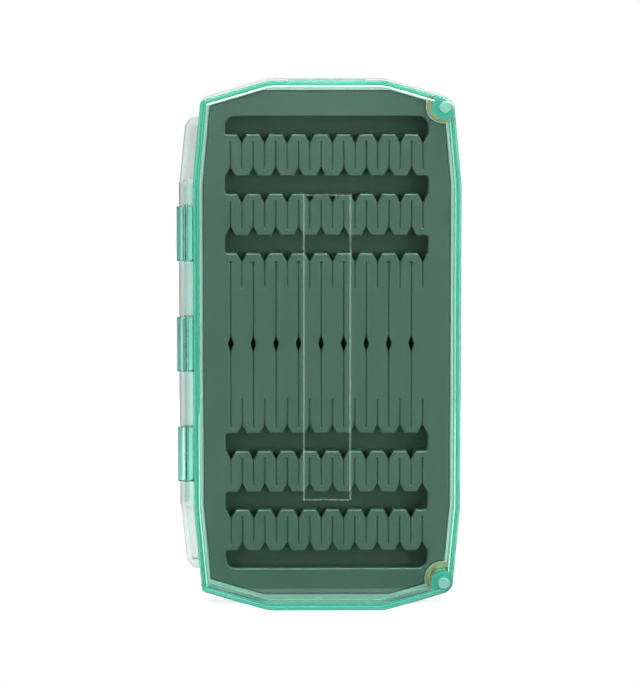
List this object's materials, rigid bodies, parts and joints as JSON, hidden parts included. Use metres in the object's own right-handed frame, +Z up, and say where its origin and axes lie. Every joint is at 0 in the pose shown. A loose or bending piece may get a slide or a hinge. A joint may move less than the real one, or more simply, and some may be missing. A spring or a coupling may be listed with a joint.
{
  "type": "fly box",
  "caption": "Slim two-shell case for fishing flies: a clear lid on a side hinge, corner magnets that hold it shut, and a slit silicone insert.",
  "frame": {"origin": "on the ground in the middle of the foot's width, 0.6 mm behind the base's rim", "axes": "+Z up the long way, +X across the case away from the hinge, +Y from the lid's front to the base's back"},
  "size_m": [0.0978, 0.026, 0.183],
  "materials": {
    "milky_plastic": "milky, half clear moulded plastic with a soft gloss",
    "green_clear_plastic": "clear green moulded plastic, polished",
    "grey_silicone": "matt grey silicone with soft edges",
    "adhesive_sheet": "thin adhesive sheet",
    "amber_silicone": "half clear amber silicone cord",
    "steel": "drawn stainless wire",
    "nickel": "nickel plated, satin"
  },
  "bodies": {
    "base": {"base_shell": "milky_plastic", "silicone_insert": "grey_silicone", "insert_adhesive": "adhesive_sheet", "gasket": "amber_silicone", "hinge_pin": "steel", "base_magnet_upper": "nickel", "base_magnet_lower": "nickel"},
    "lid": {"lid_shell": "green_clear_plastic", "lid_magnet_upper": "nickel", "lid_magnet_lower": "nickel"}
  },
  "joints": [
    {"name": "lid_hinge", "type": "hinge", "parent": "base", "child": "lid", "pos_m": [-0.0486, -0.00065, 0.0915], "axis": [0, 0, -1], "range_deg": [0, 180]}
  ]
}
